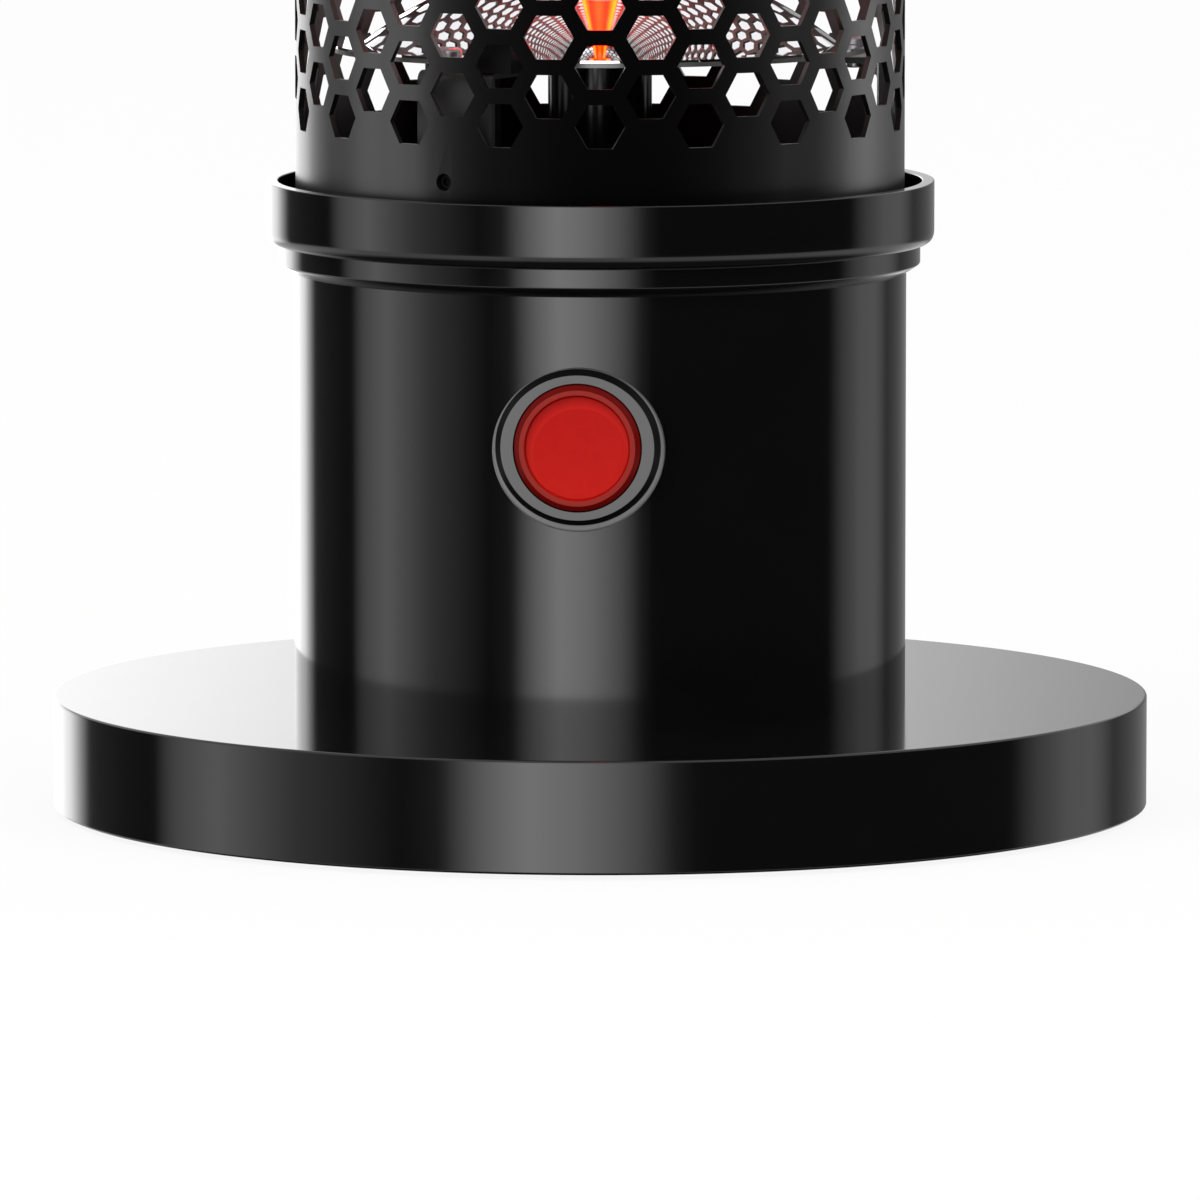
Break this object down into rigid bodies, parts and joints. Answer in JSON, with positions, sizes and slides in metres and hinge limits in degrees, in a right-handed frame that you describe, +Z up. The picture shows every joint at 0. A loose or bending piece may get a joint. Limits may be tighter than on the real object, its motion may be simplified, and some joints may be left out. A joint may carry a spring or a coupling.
{
  "type": "carbon infrared heater",
  "caption": "Table-top tower heater: weighted disc base, black drum with a lit push-button, hexagon-perforated guard round an upright carbon lamp between mirror domes.",
  "frame": {"origin": "on the table under the lamp's axis, at the level of the rubber feet's undersides", "axes": "+Z up along the lamp, -Y towards the front with the push-button, +X to the right seen from the front"},
  "size_m": [0.22, 0.22, 0.64],
  "materials": {
    "black_gloss": "smooth gloss black enamel",
    "black_satin": "satin heat-resistant black enamel",
    "black_plastic": "moulded gloss black",
    "saddle_grey": "satin grey moulding",
    "zinc_steel": "zinc-plated sheet and fasteners",
    "grey_sheet": "grey heat-resistant coated sheet",
    "ballast_iron": "raw casting",
    "foot_rubber": "matt",
    "mirror_aluminium": "spun and mirror polished",
    "lamp_ceramic": "unglazed white ceramic",
    "lamp_glass": "clear quartz",
    "carbon": "glowing woven carbon sleeve",
    "button_red": "translucent red moulding",
    "switch_body": "matt black moulding",
    "white_plastic": "natural moulding",
    "terminal_brass": "bare",
    "wire_cover": "white silicone insulation"
  },
  "bodies": {
    "frame": {"base_cover": "black_gloss", "bottom_plate": "zinc_steel", "ballast_plate": "ballast_iron", "rubber_feet": "foot_rubber", "base_posts": "zinc_steel", "tie_rods": "zinc_steel", "rod_nuts": "zinc_steel", "base_screws": "zinc_steel", "body_shell": "black_gloss", "collar": "black_gloss", "top_cap": "black_gloss", "cap_screws": "zinc_steel", "lower_deck": "black_satin", "upper_deck": "black_satin", "lower_legs": "grey_sheet", "upper_legs": "grey_sheet", "leg_rivets": "zinc_steel", "reflector_spacers": "lamp_ceramic", "reflector_screws": "zinc_steel", "guard_screws": "black_satin", "guard_nuts": "zinc_steel", "thermal_cutout": "switch_body", "lower_reflector": "mirror_aluminium", "upper_reflector": "mirror_aluminium", "lower_stem": "black_gloss", "upper_stem": "black_gloss", "stem_nuts": "zinc_steel", "lower_lamp_holder": "lamp_ceramic", "upper_lamp_holder": "lamp_ceramic", "lower_lamp_cap": "zinc_steel", "upper_lamp_cap": "zinc_steel", "quartz_tube": "lamp_glass", "carbon_filament": "carbon", "wire_conduit": "zinc_steel", "switch_saddle": "saddle_grey", "switch_bezel": "black_plastic", "switch_nut": "switch_body", "button_spring": "zinc_steel", "contact_block": "switch_body", "switch_terminals": "terminal_brass", "tip_bracket": "zinc_steel", "tip_pin": "zinc_steel", "tip_switch": "switch_body", "terminal_block": "white_plastic", "terminal_screws": "zinc_steel", "earth_screw": "terminal_brass", "cord_gland": "black_plastic", "gland_nut": "black_plastic", "lower_lead": "wire_cover", "upper_lead": "wire_cover", "switch_leads": "wire_cover", "guard": "black_satin"},
    "button": {"button_cap": "button_red", "button_plunger": "white_plastic", "indicator_lamp": "lamp_glass"},
    "pendulum": {"tip_pendulum": "terminal_brass"}
  },
  "joints": [
    {"name": "power_button", "type": "slide", "parent": "frame", "child": "button", "axis": [0, 1, 0], "range_m": [0, 0.0025], "stiffness_N_per_m": 600, "deforming": ["button_spring"]},
    {"name": "tip_swing", "type": "hinge", "parent": "frame", "child": "pendulum", "pos_m": [-0.029, 0.005, 0.058], "axis": [1, 0, 0], "range_deg": [-20, 20]}
  ]
}
